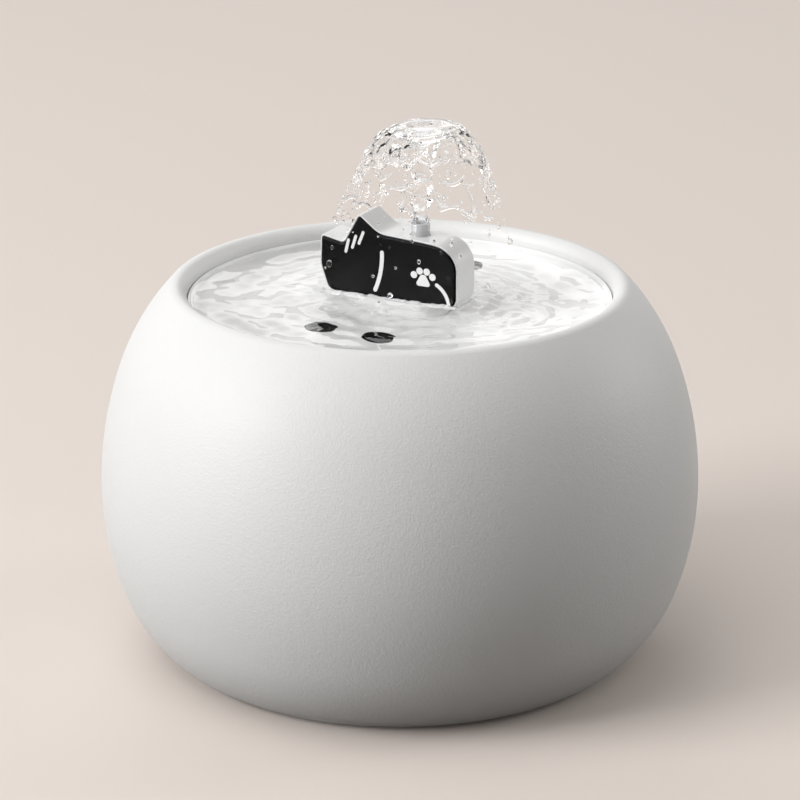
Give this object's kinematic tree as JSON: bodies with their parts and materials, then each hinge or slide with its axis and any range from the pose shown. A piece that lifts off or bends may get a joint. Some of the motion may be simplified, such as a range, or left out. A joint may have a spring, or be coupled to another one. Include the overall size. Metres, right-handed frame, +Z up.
{
  "type": "pet water fountain",
  "caption": "Round white bowl fountain for pets with a drinking tray, a cat-shaped outlet cover, a filter basket and a submersible pump in its tank.",
  "frame": {"origin": "on the floor under the middle of the bowl", "axes": "+Z up; the cat's flat black face looks towards -Y, the power socket is at +Y"},
  "size_m": [0.21, 0.21, 0.1916],
  "materials": {
    "shell": "fine matt grain",
    "base": "matt",
    "screw": "zinc plated",
    "rubber": "matt",
    "tank": "satin",
    "silicone": "satin",
    "black_plastic": "satin",
    "brass": "satin",
    "lead": "satin",
    "pump": "satin",
    "board": "satin",
    "iron": "lacquered",
    "copper": "lacquered",
    "shaft": "ground",
    "clear_tube": "clear",
    "impeller": "satin",
    "magnet": "ground",
    "sponge": "open cell",
    "regulator": "satin",
    "tray": "glossy",
    "basket": "satin",
    "carbon": "granular",
    "cotton": "felted",
    "cat_white": "satin",
    "cat_black": "glossy",
    "print_white": "satin",
    "nozzle": "translucent",
    "water": "clear"
  },
  "bodies": {
    "bowl": {"outer_shell": "shell", "base_plate": "base", "base_screws": "screw", "rubber_feet": "rubber", "water_tank": "tank", "tank_gasket": "silicone", "power_socket": "black_plastic", "socket_nut": "screw", "socket_pin": "brass", "lead_gland": "rubber", "pump_lead": "lead", "pump_housing": "pump", "pump_rear_cover": "pump", "driver_board": "board", "stator_core": "iron", "stator_coil": "copper", "impeller_cover": "pump", "front_bush": "rubber", "rear_bush": "rubber", "pump_shaft": "shaft", "suction_cups": "rubber", "riser_tube": "clear_tube"},
    "rotor": {"impeller": "impeller", "rotor_magnet": "magnet"},
    "pump_cover": {"pump_front_cover": "pump", "intake_sponge": "sponge"},
    "regulator": {"flow_regulator": "regulator"},
    "tray": {"drinking_tray": "tray", "filter_holder": "basket", "tray_seal": "silicone", "riser_seal": "rubber"},
    "filter": {"filter_basket": "basket", "filter_sponge": "sponge", "cartridge_frame": "basket", "carbon_bed": "carbon", "cotton_pad": "cotton"},
    "cat": {"cat_shell": "cat_white", "cat_plate": "cat_black", "plate_print": "print_white", "outlet_nozzle": "nozzle", "water_jet": "water"}
  },
  "joints": [
    {"name": "tray_lift", "type": "slide", "parent": "bowl", "child": "tray", "axis": [0, 0, 1], "range_m": [0, 0.05]},
    {"name": "cat_lift", "type": "slide", "parent": "tray", "child": "cat", "axis": [0, 0, 1], "range_m": [0, 0.04]},
    {"name": "basket_twist", "type": "hinge", "parent": "tray", "child": "filter", "pos_m": [0, 0, 0.11], "axis": [0, 0, 1], "range_deg": [0, 40]},
    {"name": "rotor_spin", "type": "hinge", "parent": "bowl", "child": "rotor", "pos_m": [0.008, 0, 0.0311], "axis": [0, 1, 0], "continuous": true},
    {"name": "cover_pull", "type": "slide", "parent": "bowl", "child": "pump_cover", "axis": [0, -1, 0], "range_m": [0, 0.014]},
    {"name": "regulator_turn", "type": "hinge", "parent": "pump_cover", "child": "regulator", "pos_m": [0.008, -0.02, 0.0311], "axis": [0, 1, 0], "range_deg": [0, 30]}
  ]
}
